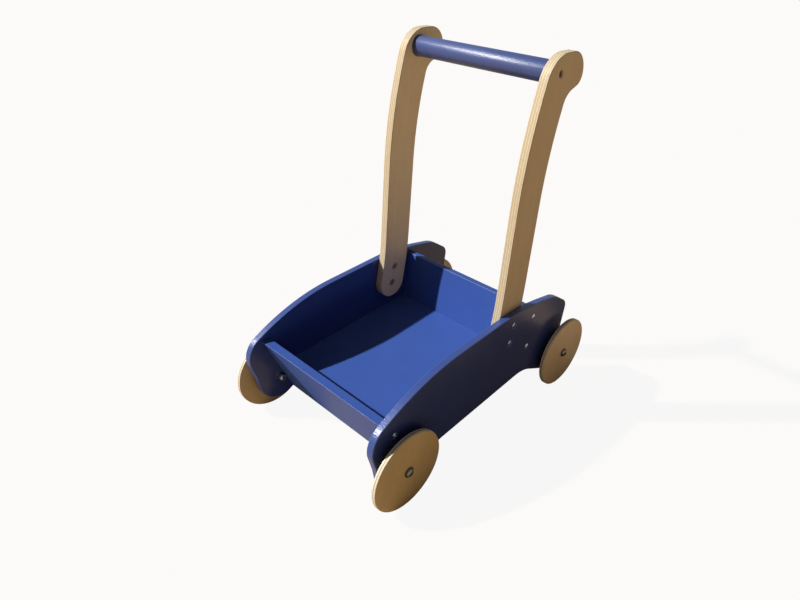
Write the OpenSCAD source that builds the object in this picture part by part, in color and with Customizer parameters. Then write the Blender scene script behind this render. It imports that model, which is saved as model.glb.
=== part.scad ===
// Baby push walker: a painted plywood tray on four plywood wheels, with two
// curved uprights and a round push bar.
// X runs across, -Y is the way it is pushed, Z is up and the ground is Z = 0.
// The origin lies midway between the axles. Left is +X, as the child sees it.

/* [Boards] */
// Thickness of the front and rear panels and of the uprights
board_t = 12; // [11:0.5:15]
// Thickness of the side panels
side_t = 10; // [9:0.5:14]
// Clear width between the side panels
inner_w = 232; // [204:1:264]
// Thickness of the floor panel
floor_t = 9; // [6:0.5:12]
// Height of the floor's top above the axles, at the foot of the rear panel
floor_h = 36.5; // [32:0.5:41]
// Slope of the floor, its front lower, in degrees
floor_slope = 3.5; // [0:0.5:5]
// Thickness of the floor's tongue, along its sides and its rear end
tongue_t = 5; // [3:0.5:5.5]
// Depth of the grooves that hold the tongue
groove_d = 4; // [2:0.5:6]
// Reach of the floor behind the foot of the rear panel
floor_tail = 6; // [2:0.5:12]

/* [Wheels] */
// Diameter of a wheel
wheel_d = 112; // [96:1:126]
// Thickness of a wheel
wheel_t = 7; // [5:0.5:12]
// Rounding of a wheel's rim
rim_r = 2; // [0.5:0.25:2.25]
// Distance between the front and rear axles
wheelbase = 349; // [335:1:400]

/* [Side panel outline] */
// Radius of the round lobes about the axles
lobe_r = 34.5; // [28:0.5:36]
// Reach of the nose's corner in front of the front axle
nose_reach = 52; // [48:0.5:58]
// Height of the nose's corner above the axles
nose_h = 64.5; // [60:0.5:72]
// Rounding of the nose
nose_r = 34; // [20:0.5:36]
// Distance of the brow's corner behind the front axle
brow_run = 37.5; // [30:0.5:48]
// Height of the brow's corner above the axles
brow_h = 112.5; // [106:0.5:116]
// Radius of the brow's long curve
brow_r = 300; // [150:5:320]
// Distance of the crown's corner in front of the rear axle
crown_run = 110; // [100:1:125]
// Height of the crown's corner above the axles
crown_h = 124; // [120:0.5:130]
// Radius of the crown's long curve
crown_r = 350; // [200:10:500]
// Distance of the shoulder's corner in front of the rear axle
shoulder_run = 28.5; // [22:0.5:36]
// Height of the shoulder's corner above the axles
shoulder_h = 109; // [106:0.5:112]
// Rounding of the shoulder
shoulder_r = 60; // [30:1:80]
// Reach of the tail's corner behind the rear axle
tail_reach = 8.5; // [5:0.5:12]
// Height of the tail's corner above the axles
tail_h = 84.5; // [80:0.5:88]
// Rounding of the tail
tail_r = 17; // [8:0.5:24]
// Distance of the belly's front corner behind the front axle
belly_front_run = 67; // [60:0.5:80]
// Depth of the belly's front corner below the axles
belly_front_drop = 8; // [4:0.5:12]
// Distance of the belly's rear corner in front of the rear axle
belly_rear_run = 90; // [82:0.5:100]
// Height of the belly's rear corner above the axles
belly_rear_h = 6.5; // [3:0.5:10]
// Rounding of the belly's two corners
belly_r = 70; // [30:1:80]
// How far the notches above the lobes stay outside them
notch_gap = 3.5; // [2:0.5:6]
// Height of the front notch above the axles
front_notch_h = 15.5; // [10:0.5:20]
// Offset of the rear notch behind the rear axle
rear_notch_reach = 3; // [1:0.5:6]
// Rounding of the notches
notch_r = 10; // [4:0.5:14]

/* [Front panel] */
// Lean of the front panel, its top forward, in degrees
front_lean = 23; // [19:0.5:26]
// Clearance from the front axle's centre to the panel's front face
front_setback = 6.6; // [6.5:0.1:10]
// Length of the panel below the front axle
front_drop = 32; // [28:0.5:33]
// Height of the front panel along its face
front_panel_h = 106; // [94:0.5:110]
// Distance of the front screws from the panel's edges
front_screw_edge = 18; // [12:0.5:22]

/* [Rear panel] */
// Lean of the rear panel, its top backward, in degrees
rear_lean = 7.4; // [4:0.2:12]
// Distance of the rear panel's foot in front of the rear axle
rear_foot = 86.5; // [80:0.5:90]
// Height of the rear panel along its face
rear_panel_h = 76.5; // [68:0.5:80]
// Distance of the upper rear screws from the panel's top
rear_screw_edge = 11.4; // [9:0.2:14]
// Spacing of the rear screws along the panel
rear_screw_pitch = 48.4; // [40:0.2:52]

/* [Uprights] */
// Width of an upright
upright_w = 49; // [43:0.5:51]
// Distance of the lower upright bolt in front of the rear axle
foot_run = 136; // [132:0.5:150]
// Height of the lower upright bolt above the axles
foot_h = 77.6; // [73:0.2:82]
// Spacing of the two bolts along an upright
bolt_pitch = 27.4; // [22:0.2:30]
// Length of the foot, from the lower bolt to the knee
foot_len = 46.4; // [40:0.2:56]
// Lean of the foot, its top backward, in degrees
foot_lean = 10.5; // [6:0.5:12]
// Lean of the straight shaft, in degrees
shaft_lean = 2.7; // [1.5:0.1:5]
// Length of the neck, from the waist to the push bar
neck_len = 95; // [92:0.5:115]
// Lean of the neck, in degrees
neck_lean = 15.3; // [12:0.1:18]
// Radius of the knee's bend
knee_r = 500; // [200:10:550]
// Radius of the waist's bend
waist_r = 560; // [300:10:600]
// Height of the head above the bar's axis
head_top = 22; // [20:0.5:26]
// Rounding of the head's front
head_r = 38; // [24:0.5:40]
// Reach of the beak behind the bar's axis
beak_len = 48.5; // [42:0.5:54]
// Drop of the beak's lower corner below the bar's axis
beak_drop = 14.5; // [14:0.5:20]
// Rise of the beak's underside towards its tip, in degrees
beak_rise = 19.5; // [10:0.5:25]
// Rounding of the beak's upper corner
beak_top_r = 25; // [16:0.5:26]
// Rounding of the beak's lower corner
beak_tip_r = 15; // [8:0.5:16]
// Rounding under the beak
throat_r = 22; // [12:0.5:24]

/* [Push bar] */
// Height of the bar's axis above the ground
handle_h = 479; // [440:1:520]
// Diameter of the bar
bar_d = 26; // [22:0.5:30]
// Depth of the sockets that the bar's ends sit in
socket_d = 4; // [2:0.5:5]
// Wood left between a socket and its screw's head
socket_web = 3; // [2:0.5:4]

/* [Axles] */
// Diameter of the axle bolts
axle_d = 5; // [4.5:0.5:5.5]
// Diameter of an axle bolt's head
axle_head_d = 10.5; // [9:0.5:12]
// Height of an axle bolt's head
axle_head_h = 3.3; // [2.5:0.1:4]
// Size of the hexagon key of an axle bolt
axle_key = 4; // [3:0.5:5]
// Depth of that key hole
axle_key_d = 2.2; // [1.2:0.1:2.4]
// Outer diameter of the bush that a wheel turns on
bush_d = 10; // [9:0.5:11]
// Diameter of the spacer between a wheel and its panel
spacer_d = 18; // [14:0.5:22]
// Thickness of that spacer
spacer_t = 7.7; // [4:0.1:12]
// Diameter of the washer under an axle bolt's head
washer_d = 14; // [13:0.5:18]
// Diameter of the washer under an axle nut
nut_washer_d = 10; // [10:0.5:12]
// Thickness of the washers
washer_t = 1.5; // [1:0.1:2]
// Width of an axle nut across its flats
nut_w = 8; // [7.5:0.5:8.5]
// Height of an axle nut's hexagon
nut_h = 4; // [3.5:0.5:6]
// Diameter of an axle nut's locking collar
nut_collar_d = 7; // [6.5:0.5:7.5]
// Height of that collar
nut_collar_h = 1.5; // [1:0.5:3]
// Length of the bolt that shows past its nut
bolt_tail = 1.5; // [0.5:0.5:3]

/* [Screws and connector bolts] */
// Diameter of the wood screws
screw_d = 3.5; // [3:0.1:4.2]
// Length of the wood screws
screw_l = 42; // [36:1:60]
// Diameter of a panel screw's head
screw_head_d = 7; // [6.4:0.1:8.4]
// Height of the dome of a panel screw's head
screw_dome = 0.8; // [0.4:0.1:1.2]
// Diameter of a bar screw's cheese head
bar_screw_head_d = 8; // [7:0.1:9]
// Height of a bar screw's cheese head
bar_screw_head_h = 2.6; // [2:0.1:3]
// Diameter of a connector's barrel
barrel_d = 6.5; // [6:0.1:7]
// Wall left between the barrel's end and the bolt's head
barrel_gap = 3; // [2:0.5:5]
// Diameter of a connector barrel's head
barrel_head_d = 9.5; // [8.5:0.1:11]
// Diameter of a connector bolt
connector_d = 4; // [3.5:0.1:4.5]
// Diameter of a connector bolt's head
connector_head_d = 7.6; // [7.4:0.1:9]
// Height of both connector heads
connector_head_h = 2.2; // [1.6:0.1:2.6]
// Length of the bolt that runs inside the barrel
connector_grip = 10; // [6:0.5:12]
// Size of the connectors' hexagon keys
connector_key = 3; // [2.5:0.5:3.5]
// Depth of the key hole in a connector bolt
connector_key_d = 1.2; // [0.8:0.1:1.4]

/* [Fits] */
// Radial play of a wheel on its bush
wheel_play = 0.075; // [0.02:0.005:0.1]
// End play of a wheel on each side
wheel_end_play = 0.3; // [0.2:0.05:0.5]
// Radial clearance of bolts, barrels and screws in their holes
hole_fit = 0.1; // [0.05:0.05:0.3]
// Depth that a recessed head lies below its surface
head_sink = 0.3; // [0.1:0.1:0.5]
// Radial clearance round a recessed head
head_fit = 0.3; // [0.2:0.1:0.5]
// Clearance of the floor's tongue and shoulders
groove_fit = 0.1; // [0.05:0.05:0.3]
// Radial clearance of the bar in its sockets
socket_fit = 0.1; // [0.05:0.05:0.3]

/* [Hidden] */

$fn = 64;
// Facets of the circles that the shallow domes of heads are cut from
dome_fn = 180;
paint = "royalblue";
ply = "burlywood";
steel = "silver";
nylon = "ivory";
// Largest gap between an arc and the straight steps that draw it
arc_tol = 0.04;
// Points closer than this count as one
same_point = 0.01;
// Overshoot of cutting solids
over = 1;
sides = [1, -1];

// Across: the faces of the left side's boards and hardware
panel_in = inner_w / 2;
panel_out = panel_in + side_t;
upright_in = panel_in - board_t;
bush_in = panel_out + spacer_t;
wheel_in = bush_in + wheel_end_play;
wheel_out = wheel_in + wheel_t;
bush_out = wheel_out + wheel_end_play;
axle_head_x = bush_out + washer_t;
nut_x = panel_in - washer_t;
axle_tip_x = nut_x - nut_h - nut_collar_h - bolt_tail;

// Along and up: the axles, and the floor's directions along and through it
axle_z = wheel_d / 2;
front_axle = [-wheelbase / 2, axle_z];
rear_axle = [wheelbase / 2, axle_z];
floor_along = [cos(floor_slope), sin(floor_slope)];
floor_up = [-sin(floor_slope), cos(floor_slope)];
floor_top = [rear_axle[0] - rear_foot, axle_z + floor_h];
tongue_rise = tongue_t - floor_t;

// Front panel: its directions up the face and through the board
front_up = [-sin(front_lean), cos(front_lean)];
front_in = [cos(front_lean), sin(front_lean)];
front_base = front_axle + front_setback * front_in - front_drop * front_up;
front_mid = front_base + board_t / 2 * front_in;
front_screws = [
  front_mid + front_screw_edge * front_up,
  front_mid + (front_panel_h - front_screw_edge) * front_up
];

// Rear panel: it stands on the floor's tongue on the back edge of its foot
rear_up = [sin(rear_lean), cos(rear_lean)];
rear_in = [cos(rear_lean), -sin(rear_lean)];
rear_heel = floor_top + tongue_rise * floor_up;
rear_base = rear_heel - board_t * rear_in;
rear_mid = rear_heel - board_t / 2 * rear_in;
rear_screws = [
  rear_mid + (rear_panel_h - rear_screw_edge - rear_screw_pitch) * rear_up,
  rear_mid + (rear_panel_h - rear_screw_edge) * rear_up
];

// Uprights: the centre line runs from the lower bolt to the bar
foot = rear_axle + [-foot_run, foot_h];
foot_dir = [sin(foot_lean), cos(foot_lean)];
shaft_dir = [sin(shaft_lean), cos(shaft_lean)];
neck_dir = [sin(neck_lean), cos(neck_lean)];
knee = foot + foot_len * foot_dir;
shaft_len = (handle_h - knee[1] - neck_len * neck_dir[1]) / shaft_dir[1];
waist = knee + shaft_len * shaft_dir;
bar = waist + neck_len * neck_dir;
connectors = [foot, foot + bolt_pitch * foot_dir];

// Recesses for the panels' screws, the bar's screws and the connectors
screw_cone_h = (screw_head_d - screw_d) / 2;
bar_screw_seat = upright_in + socket_d + socket_web;
connector_recess = connector_head_h + head_sink;
barrel_seat = upright_in + connector_recess;
connector_seat = panel_out - connector_recess;
barrel_end = connector_seat - barrel_gap;

// Outlines: corners are [y, z, rounding], taken anticlockwise
function flat(p) = [p[0], p[1]];
function corner(p, r) = [p[0], p[1], r];
function at(list, i) = list[(i + len(list)) % len(list)];
function toward(a) = [cos(a), sin(a)];
function heading(v) = atan2(v[1], v[0]);
function span(c, i) = norm(flat(at(c, i + 1)) - flat(at(c, i)));
function course(c, i) = heading(at(c, i + 1) - at(c, i));
function turning(c, i) =
  let (a = course(c, i) - course(c, i - 1))
  a - 360 * round(a / 360);
function tangent(c, i) = at(c, i)[2] * tan(abs(turning(c, i)) / 2);
// A rounding is limited by the sides that it has to share
function room(c, i) = min(
  1,
  span(c, i - 1) / (tangent(c, i - 1) + tangent(c, i)),
  span(c, i) / (tangent(c, i) + tangent(c, i + 1))
);
function arc_step(r) = 2 * acos(1 - arc_tol / max(r, 2 * arc_tol));
function corner_arc(c, i) =
  let (
    a = turning(c, i),
    side = sign(a),
    r = at(c, i)[2] * room(c, i),
    h = course(c, i - 1),
    start = flat(at(c, i)) - r * tan(abs(a) / 2) * toward(h),
    centre = start + side * r * toward(h + 90),
    n = ceil(abs(a) / arc_step(r))
  )
  [for (k = [0:n]) centre + r * toward(h - 90 * side + a * k / n)];
function no_repeats(p) = [for (i = [0:len(p) - 1]) if (norm(p[i] - at(p, i - 1)) > same_point) p[i]];
function rounded(c) = no_repeats([for (i = [0:len(c) - 1]) each corner_arc(c, i)]);

// Corner between the tangents that touch a circle at two angles
function tangent_corner(m, r, a, b) = corner(m + r / cos((b - a) / 2) * toward((a + b) / 2), r);
// Part of a circle from angle a round to angle b, as two corners
function round_end(m, r, a, b) =
  let (mid = (a + b) / 2)
  [tangent_corner(m, r, a, mid), tangent_corner(m, r, mid, b)];
// Where the tangent from p touches a circle, on its far (1) or near (-1) side
function touch(m, r, p, side) = heading(p - m) + side * acos(r / norm(p - m));
// Lobe about m that joins the tangents from one point and to another
function lobe(m, r, from, to) =
  let (a = touch(m, r, from, 1), b = touch(m, r, to, -1))
  round_end(m, r, a, a + (b - a) - 360 * floor((b - a) / 360));
// Crossing of the line through p along u with the line through q along v
function crossing(p, u, q, v) = p + u * cross(q - p, v) / cross(u, v);
// Offset of the bend at p between two directions, by w to the front
function bend(p, u, v, w) =
  let (a = [-u[1], u[0]], b = [-v[1], v[0]])
  p + w * (a + b) / (1 + a * b);

front_notch = front_axle + [-lobe_r - notch_gap, front_notch_h];
rear_notch = rear_axle + [rear_notch_reach, lobe_r + notch_gap];
belly_front = front_axle + [belly_front_run, -belly_front_drop];
belly_rear = rear_axle + [-belly_rear_run, belly_rear_h];
side_outline = rounded([
  each lobe(front_axle, lobe_r, front_notch, belly_front),
  corner(belly_front, belly_r),
  corner(belly_rear, belly_r),
  each lobe(rear_axle, lobe_r, belly_rear, rear_notch),
  corner(rear_notch, notch_r),
  corner(rear_axle + [tail_reach, tail_h], tail_r),
  corner(rear_axle + [-shoulder_run, shoulder_h], shoulder_r),
  corner(rear_axle + [-crown_run, crown_h], crown_r),
  corner(front_axle + [brow_run, brow_h], brow_r),
  corner(front_axle + [-nose_reach, nose_h], nose_r),
  corner(front_notch, notch_r)
]);

half_w = upright_w / 2;
beak_tip = bar + [beak_len, -beak_drop];
head_corner = bar + [beak_len, head_top];
neck_front = bend(bar, neck_dir, neck_dir, half_w);
neck_rear = bend(bar, neck_dir, neck_dir, -half_w);
upright_outline = rounded([
  each round_end(foot, half_w, 180 - foot_lean, 360 - foot_lean),
  corner(bend(knee, foot_dir, shaft_dir, -half_w), knee_r + half_w),
  corner(bend(waist, shaft_dir, neck_dir, -half_w), waist_r - half_w),
  corner(crossing(neck_rear, neck_dir, beak_tip, toward(beak_rise)), throat_r),
  corner(beak_tip, beak_tip_r),
  corner(head_corner, beak_top_r),
  corner(crossing(neck_front, neck_dir, head_corner, toward(180)), head_r),
  corner(bend(waist, shaft_dir, neck_dir, half_w), waist_r + half_w),
  corner(bend(knee, foot_dir, shaft_dir, half_w), knee_r - half_w)
]);

// The floor is drawn level, in a frame that starts at its top by the foot of the rear panel
function on_floor(p) = [(p - floor_top) * floor_along, (p - floor_top) * floor_up];
// Its front end is cut to the lean of the front panel
front_back = front_base + board_t * front_in;
function floor_front(rise) =
  let (level = floor_top + rise * floor_up)
  on_floor(crossing(front_back, front_up, level, floor_along))[0];
floor_shoulder = on_floor(rear_base)[0] - groove_fit;
function floor_slab(rise, c) =
  let (low = -floor_t - c, high = rise + c)
  [
    [floor_front(low) - c, low],
    [floor_tail + c, low],
    [floor_tail + c, high],
    [floor_front(high) - c, high]
  ];

function plank(base, up, in, h) = [base, base + board_t * in, base + board_t * in + h * up, base + h * up];

// Board with an outline in Y and Z, from x over the thickness t
module board(outline, x, t) {
  translate([x, 0, 0])
    rotate([90, 0, 90])
      linear_extrude(t)
        polygon(outline);
}

// Slopes and places what is drawn in the floor's own frame
module floor_frame() {
  translate([0, floor_top[0], floor_top[1]])
    rotate([floor_slope, 0, 0])
      children();
}

// Rod along X at a point [y, z], from x0 to x1
module rod(p, d, x0, x1, fn = $fn) {
  translate([x0, p[0], p[1]])
    rotate([0, 90, 0])
      cylinder(d = d, h = x1 - x0, $fn = fn);
}

// Ring along X at a point [y, z]
module ring(p, d, bore, x0, x1) {
  difference() {
    rod(p, d, x0, x1);
    rod(p, bore, x0 - over, x1 + over);
  }
}

// Hexagon key hole, open towards +X at x
module key_hole(p, w, x, depth) {
  rod(p, w / cos(30), x - depth, x + over, 6);
}

// Everything on the right is the mirror image of the left
module on_side(s) {
  mirror([s > 0 ? 0 : 1, 0, 0])
    children();
}

module both_sides() {
  for (s = sides)
    on_side(s)
      children();
}

// Countersunk hole for a panel screw, through a side panel
module screw_hole(p) {
  rod(p, screw_d + 2 * hole_fit, panel_in - over, panel_out + over);
  translate([panel_out - screw_cone_h, p[0], p[1]])
    rotate([0, 90, 0])
      cylinder(d1 = screw_d + 2 * hole_fit, d2 = screw_head_d + 2 * hole_fit, h = screw_cone_h);
}

// Wood screw with a raised countersunk head, from the side panel's outer face
module panel_screw(p) {
  shank_r = screw_d / 2;
  dome_r = (pow(screw_head_d / 2, 2) + pow(screw_dome, 2)) / (2 * screw_dome);
  translate([panel_out, p[0], p[1]])
    rotate([0, 90, 0])
      rotate_extrude() {
        intersection() {
          translate([0, screw_dome - dome_r])
            circle(dome_r, $fn = dome_fn);
          square([screw_head_d / 2, screw_dome]);
        }
        polygon([
          [0, 0],
          [screw_head_d / 2, 0],
          [shank_r, -screw_cone_h],
          [shank_r, -screw_l],
          [0, -screw_l]
        ]);
      }
}

module pilot_holes(points) {
  both_sides()
    for (p = points)
      rod(p, screw_d + 2 * hole_fit, panel_out - screw_l - over, panel_in + over);
}

module side_panel() {
  color(paint)
    difference() {
      board(side_outline, panel_in, side_t);
      floor_frame()
        board(floor_slab(tongue_rise, groove_fit), panel_in - over, groove_d + over);
      for (p = [front_axle, rear_axle])
        rod(p, axle_d + 2 * hole_fit, panel_in - over, panel_out + over);
      for (p = concat(front_screws, rear_screws))
        screw_hole(p);
      for (p = connectors) {
        rod(p, barrel_d + 2 * hole_fit, panel_in - over, panel_out + over);
        rod(p, connector_head_d + 2 * head_fit, connector_seat, panel_out + over);
      }
    }
}

module left_side_panel() {
  side_panel();
}

module right_side_panel() {
  on_side(-1)
    side_panel();
}

module front_panel() {
  color(paint)
    difference() {
      board(plank(front_base, front_up, front_in, front_panel_h), -panel_in, inner_w);
      pilot_holes(front_screws);
    }
}

module rear_panel() {
  color(paint)
    difference() {
      board(plank(rear_base, rear_up, rear_in, rear_panel_h), -panel_in, inner_w);
      pilot_holes(rear_screws);
    }
}

// Floor with a tongue along both sides and under the rear panel
module floor_panel() {
  half = panel_in + groove_d - groove_fit;
  shoulder = panel_in - groove_fit;
  front = floor_front(0) - over;
  color(paint)
    floor_frame()
      difference() {
        board(floor_slab(0, 0), -half, 2 * half);
        both_sides()
          translate([shoulder, front, tongue_rise])
            cube([groove_d + over, floor_tail + over - front, floor_t]);
        translate([-half - over, floor_shoulder, tongue_rise])
          cube([2 * half + 2 * over, floor_tail + over - floor_shoulder, floor_t]);
      }
}

module upright() {
  color(ply)
    difference() {
      board(upright_outline, upright_in, board_t);
      rod(bar, bar_d + 2 * socket_fit, upright_in - over, upright_in + socket_d);
      rod(bar, screw_d + 2 * hole_fit, upright_in - over, panel_in + over);
      rod(bar, bar_screw_head_d + 2 * head_fit, bar_screw_seat, panel_in + over);
      for (p = connectors) {
        rod(p, barrel_d + 2 * hole_fit, upright_in - over, panel_in + over);
        rod(p, barrel_head_d + 2 * head_fit, upright_in - over, barrel_seat);
      }
    }
}

module left_upright() {
  upright();
}

module right_upright() {
  on_side(-1)
    upright();
}

module push_bar() {
  bar_end = upright_in + socket_d;
  color(paint)
    difference() {
      rod(bar, bar_d, -bar_end, bar_end);
      both_sides()
        rod(bar, screw_d + 2 * hole_fit, bar_screw_seat - screw_l - over, bar_end + over);
    }
}

// Plywood disc with a rounded rim and a plain bore
module wheel(p) {
  r = wheel_d / 2;
  color(ply)
    translate([wheel_in, p[0], p[1]])
      rotate([0, 90, 0])
        difference() {
          rotate_extrude() {
            square([r - rim_r, wheel_t]);
            translate([0, rim_r])
              square([r, wheel_t - 2 * rim_r]);
            for (z = [rim_r, wheel_t - rim_r])
              translate([r - rim_r, z])
                circle(rim_r);
          }
          translate([0, 0, -over])
            cylinder(d = bush_d + 2 * wheel_play, h = wheel_t + 2 * over);
        }
}

module front_left_wheel() {
  wheel(front_axle);
}

module front_right_wheel() {
  on_side(-1)
    wheel(front_axle);
}

module rear_left_wheel() {
  wheel(rear_axle);
}

module rear_right_wheel() {
  on_side(-1)
    wheel(rear_axle);
}

// Sleeve that the bolt clamps, so that the wheel turns freely on it
module bush(p) {
  color(nylon)
    ring(p, bush_d, axle_d + 2 * hole_fit, bush_in, bush_out);
}

module front_left_bush() {
  bush(front_axle);
}

module front_right_bush() {
  on_side(-1)
    bush(front_axle);
}

module rear_left_bush() {
  bush(rear_axle);
}

module rear_right_bush() {
  on_side(-1)
    bush(rear_axle);
}

// Button-head bolt from the wheel through the side panel
module axle_bolt(p) {
  head_r = axle_head_d / 2;
  dome_r = (pow(head_r, 2) + pow(axle_head_h, 2)) / (2 * axle_head_h);
  color(steel)
    difference() {
      union() {
        rod(p, axle_d, axle_tip_x, axle_head_x);
        translate([axle_head_x, p[0], p[1]])
          rotate([0, 90, 0])
            rotate_extrude()
              intersection() {
                translate([0, axle_head_h - dome_r])
                  circle(dome_r, $fn = dome_fn);
                square([head_r, axle_head_h]);
              }
      }
      key_hole(p, axle_key, axle_head_x + axle_head_h, axle_key_d);
    }
}

module front_left_axle_bolt() {
  axle_bolt(front_axle);
}

module front_right_axle_bolt() {
  on_side(-1)
    axle_bolt(front_axle);
}

module rear_left_axle_bolt() {
  axle_bolt(rear_axle);
}

module rear_right_axle_bolt() {
  on_side(-1)
    axle_bolt(rear_axle);
}

module at_axles() {
  both_sides() {
    translate([0, front_axle[0], front_axle[1]])
      children();
    translate([0, rear_axle[0], rear_axle[1]])
      children();
  }
}

module axle_spacers() {
  color(nylon)
    at_axles()
      ring([0, 0], spacer_d, axle_d + 2 * hole_fit, panel_out, bush_in);
}

module axle_washers() {
  color(steel)
    at_axles()
      ring([0, 0], washer_d, axle_d + 2 * hole_fit, bush_out, axle_head_x);
}

module nut_washers() {
  color(steel)
    at_axles()
      ring([0, 0], nut_washer_d, axle_d + 2 * hole_fit, nut_x, panel_in);
}

// Hexagon lock nut with a round collar
module axle_nuts() {
  bore = axle_d + 2 * hole_fit;
  color(steel)
    at_axles()
      difference() {
        union() {
          rod([0, 0], nut_w / cos(30), nut_x - nut_h, nut_x, 6);
          rod([0, 0], nut_collar_d, nut_x - nut_h - nut_collar_h, nut_x - nut_h);
        }
        rod([0, 0], bore, nut_x - nut_h - nut_collar_h - over, nut_x + over);
      }
}

module front_panel_screws() {
  color(steel)
    both_sides()
      for (p = front_screws)
        panel_screw(p);
}

module rear_panel_screws() {
  color(steel)
    both_sides()
      for (p = rear_screws)
        panel_screw(p);
}

module push_bar_screws() {
  color(steel)
    both_sides() {
      rod(bar, screw_d, bar_screw_seat - screw_l, bar_screw_seat);
      rod(bar, bar_screw_head_d, bar_screw_seat, bar_screw_seat + bar_screw_head_h);
    }
}

module connector_bolts() {
  color(steel)
    both_sides()
      for (p = connectors)
        difference() {
          union() {
            rod(p, connector_d, barrel_end - connector_grip, connector_seat);
            rod(p, connector_head_d, connector_seat, connector_seat + connector_head_h);
          }
          key_hole(p, connector_key, connector_seat + connector_head_h, connector_key_d);
        }
}

module connector_barrels() {
  color(steel)
    both_sides()
      for (p = connectors)
        difference() {
          union() {
            rod(p, barrel_d, barrel_seat, barrel_end);
            rod(p, barrel_head_d, barrel_seat - connector_head_h, barrel_seat);
          }
          rod(p, connector_d + 2 * hole_fit, barrel_seat, barrel_end + over);
          rod(p, connector_key / cos(30), barrel_seat - connector_head_h - over, barrel_seat + over, 6);
        }
}

left_side_panel();
right_side_panel();
front_panel();
rear_panel();
floor_panel();
left_upright();
right_upright();
push_bar();
front_left_wheel();
front_right_wheel();
rear_left_wheel();
rear_right_wheel();
front_left_bush();
front_right_bush();
rear_left_bush();
rear_right_bush();
front_left_axle_bolt();
front_right_axle_bolt();
rear_left_axle_bolt();
rear_right_axle_bolt();
axle_spacers();
axle_washers();
nut_washers();
axle_nuts();
front_panel_screws();
rear_panel_screws();
push_bar_screws();
connector_bolts();
connector_barrels();
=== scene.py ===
import math

import bmesh
import bpy
from mathutils import Matrix, Vector


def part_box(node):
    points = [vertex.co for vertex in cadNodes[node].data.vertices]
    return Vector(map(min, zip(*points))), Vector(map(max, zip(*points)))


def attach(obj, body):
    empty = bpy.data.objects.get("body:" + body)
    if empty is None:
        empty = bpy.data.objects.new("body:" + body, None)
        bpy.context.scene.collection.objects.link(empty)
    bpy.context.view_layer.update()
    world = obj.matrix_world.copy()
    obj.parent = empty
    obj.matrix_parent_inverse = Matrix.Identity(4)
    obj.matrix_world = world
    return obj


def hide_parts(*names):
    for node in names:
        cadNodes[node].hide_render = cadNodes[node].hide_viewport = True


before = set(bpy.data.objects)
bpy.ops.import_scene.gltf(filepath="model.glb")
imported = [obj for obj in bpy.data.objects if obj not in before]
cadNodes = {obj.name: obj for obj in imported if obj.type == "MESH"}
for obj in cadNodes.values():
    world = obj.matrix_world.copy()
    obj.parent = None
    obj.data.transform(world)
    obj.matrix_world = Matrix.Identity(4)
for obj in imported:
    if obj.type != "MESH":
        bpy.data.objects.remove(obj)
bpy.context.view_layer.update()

corners = ("front_left", "front_right", "rear_left", "rear_right")
weld = 0.000002                             # metres between points that count as one


def camelName(cad):
    first, *rest = cad.split("_")
    return first + "".join(word.title() for word in rest)


# node trees: small helpers

def wire(tree, kind, inputs=None, **settings):
    made = tree.nodes.new(kind)
    for name, value in settings.items():
        setattr(made, name, value)
    for key, value in (inputs or {}).items():
        socket = made.inputs[key]
        if isinstance(value, bpy.types.NodeSocket):
            tree.links.new(value, socket)
        else:
            socket.default_value = value
    return made


def calc(tree, operation, a, b=0.0, c=0.0):
    return wire(tree, "ShaderNodeMath", {0: a, 1: b, 2: c}, operation=operation).outputs[0]


def scaled(tree, vector, scale):
    return wire(tree, "ShaderNodeVectorMath", {0: vector, "Scale": scale}, operation="SCALE").outputs[0]


def added(tree, a, b):
    return wire(tree, "ShaderNodeVectorMath", {0: a, 1: b}, operation="ADD").outputs[0]


def blendColour(tree, factor, a, b, mode="MIX"):
    made = wire(tree, "ShaderNodeMix", {0: factor, 6: a, 7: b}, data_type="RGBA", blend_type=mode)
    return made.outputs[2]


def remap(tree, value, low, high, toLow=0.0, toHigh=1.0):
    made = wire(tree, "ShaderNodeMapRange",
                {"Value": value, "From Min": low, "From Max": high, "To Min": toLow, "To Max": toHigh})
    return made.outputs["Result"]


def fromNoise(tree, value, toLow=0.0, toHigh=1.0):
    return remap(tree, value, 0.3, 0.7, toLow, toHigh)      # most of a noise lies between these


def stretch(tree, vector, scale):
    return wire(tree, "ShaderNodeMapping", {"Vector": vector, "Scale": scale}).outputs[0]


def noise(tree, vector, scale=1.0, detail=2.0, roughness=0.5):
    made = wire(tree, "ShaderNodeTexNoise",
                {"Vector": vector, "Scale": scale, "Detail": detail, "Roughness": roughness})
    return made.outputs["Factor" if "Factor" in made.outputs else "Fac"]


def newGroup(name, inputs, outputs):
    tree = bpy.data.node_groups.new(name, "ShaderNodeTree")
    for socketName, kind in inputs:
        tree.interface.new_socket(socketName, in_out="INPUT", socket_type=kind)
    for socketName, kind in outputs:
        tree.interface.new_socket(socketName, in_out="OUTPUT", socket_type=kind)
    return tree, tree.nodes.new("NodeGroupInput").outputs, tree.nodes.new("NodeGroupOutput").inputs


def useGroup(tree, group, inputs):
    return wire(tree, "ShaderNodeGroup", inputs, node_tree=group).outputs


# shader groups that several finishes share

# noise scales along X, Y and the grain
veneer = {
    "drift": (9, 9, 3),
    "bend": 0.02,                           # how far the drift pushes a streak aside
    "streak": (1, 1, 0.045),
    "cloud": (14, 14, 4),
    "pore": (2600, 2600, 160),
    "poreRange": (0.56, 0.72),
}


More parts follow.
